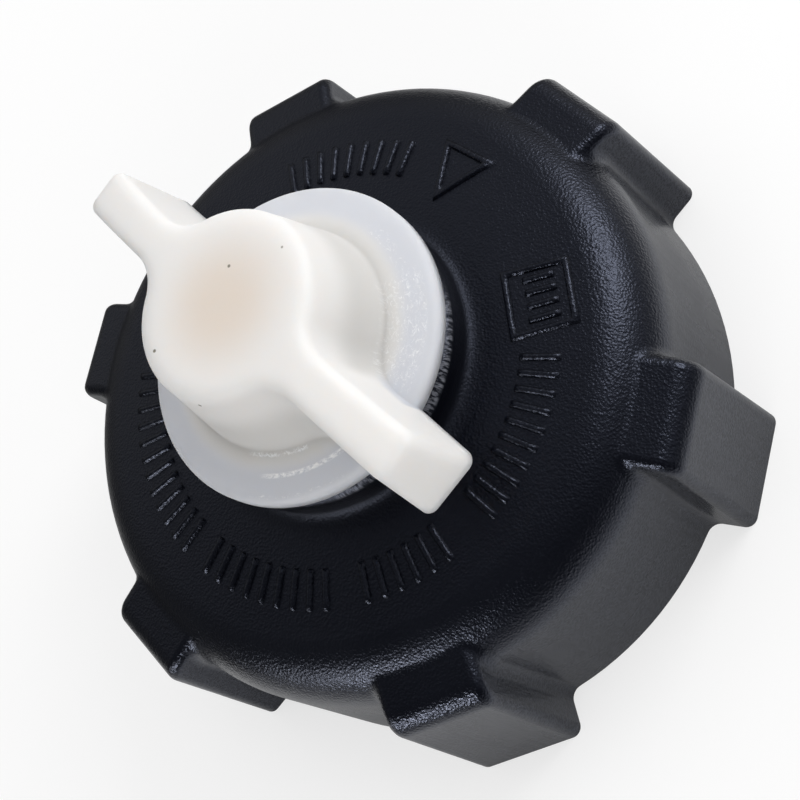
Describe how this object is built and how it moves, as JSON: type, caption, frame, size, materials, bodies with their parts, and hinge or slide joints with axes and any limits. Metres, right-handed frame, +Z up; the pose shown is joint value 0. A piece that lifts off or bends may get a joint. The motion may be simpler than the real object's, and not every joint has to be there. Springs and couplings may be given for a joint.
{
  "type": "fuel filler cap",
  "caption": "Screw-on fuel filler cap with grip lugs round a drafted skirt, a domed top with a raised collar, and a winged vent screw that seals on an O-ring.",
  "frame": {"origin": "on the cap's axis, in the plane of the open rim that it stands on", "axes": "+Z up along the cap's axis, from the open rim to the knob; +X through the middle of a grip lug"},
  "size_m": [0.0788, 0.0736, 0.0462],
  "materials": {
    "black_polyethylene": "satin, fine leather grain",
    "natural_polypropylene": "translucent, as moulded",
    "nitrile_rubber": "matt"
  },
  "bodies": {
    "cap": {"cap_body": "black_polyethylene", "neck_gasket": "nitrile_rubber"},
    "seal": {"vent_seal": "nitrile_rubber"},
    "knob": {"vent_knob": "natural_polypropylene"}
  },
  "joints": [
    {"name": "vent_lift", "type": "slide", "parent": "cap", "child": "seal", "axis": [0, 0, 1], "range_m": [0, 0.0045]},
    {"name": "vent_turn", "type": "hinge", "parent": "seal", "child": "knob", "pos_m": [0, 0, 0.03], "axis": [0, 0, 1], "range_deg": [0, 540]}
  ],
  "couplings": [
    {"joint": "vent_lift", "follows": "vent_turn", "m_per_rad": 0.00047746}
  ]
}
